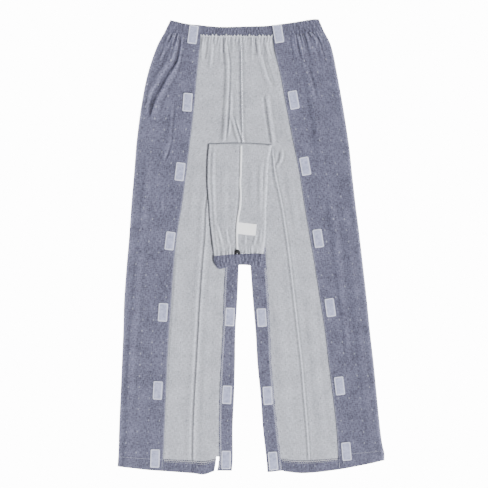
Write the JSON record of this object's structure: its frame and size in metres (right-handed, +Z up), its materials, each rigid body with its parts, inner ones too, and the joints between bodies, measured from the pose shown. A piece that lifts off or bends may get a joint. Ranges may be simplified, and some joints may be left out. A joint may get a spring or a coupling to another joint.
{
  "type": "tear-away patient trousers laid flat",
  "caption": "Patient trousers laid flat and open at the front: wrapped sides and inner leg strips with hook-and-loop patches, gathered waist, front panel folded down.",
  "frame": {"origin": "on the floor under the middle of the laid-out trousers", "axes": "+Y from hem to waist, +X to the right of someone looking down on the front, +Z up off the floor"},
  "size_m": [0.587, 1.001, 0.0126],
  "materials": {
    "outer_cloth": "matte woven cotton double cloth, blue chambray outer face with small light dots",
    "inner_cloth": "matte woven cotton double cloth, pale grey inner face with faint dots",
    "hook_and_loop": "brushed hook-and-loop tape, pale grey-blue",
    "label_tape": "white satin tape",
    "loop_cord": "black braided cord"
  },
  "bodies": {
    "root": {"back_left": "inner_cloth", "back_right": "inner_cloth", "band_loop": "loop_cord", "flap_band_under": "outer_cloth", "flap_layers": "outer_cloth", "flap_left": "inner_cloth", "flap_right": "inner_cloth", "flap_waistband": "outer_cloth", "hem_left": "outer_cloth", "hem_right": "outer_cloth", "inseam_left": "outer_cloth", "inseam_right": "outer_cloth", "label": "label_tape", "patch_inner_left_1": "hook_and_loop", "patch_inner_left_2": "hook_and_loop", "patch_inner_left_3": "hook_and_loop", "patch_inner_right_1": "hook_and_loop", "patch_inner_right_2": "hook_and_loop", "patch_inner_right_3": "hook_and_loop", "patch_outer_left_1": "hook_and_loop", "patch_outer_left_2": "hook_and_loop", "patch_outer_left_3": "hook_and_loop", "patch_outer_left_4": "hook_and_loop", "patch_outer_left_5": "hook_and_loop", "patch_outer_left_6": "hook_and_loop", "patch_outer_left_7": "hook_and_loop", "patch_outer_right_1": "hook_and_loop", "patch_outer_right_2": "hook_and_loop", "patch_outer_right_3": "hook_and_loop", "patch_outer_right_4": "hook_and_loop", "patch_outer_right_5": "hook_and_loop", "patch_outer_right_6": "hook_and_loop", "patch_outer_right_7": "hook_and_loop", "side_left": "outer_cloth", "side_right": "outer_cloth", "waistband_back": "outer_cloth", "waistband_left": "outer_cloth", "waistband_right": "outer_cloth"}
  },
  "joints": []
}
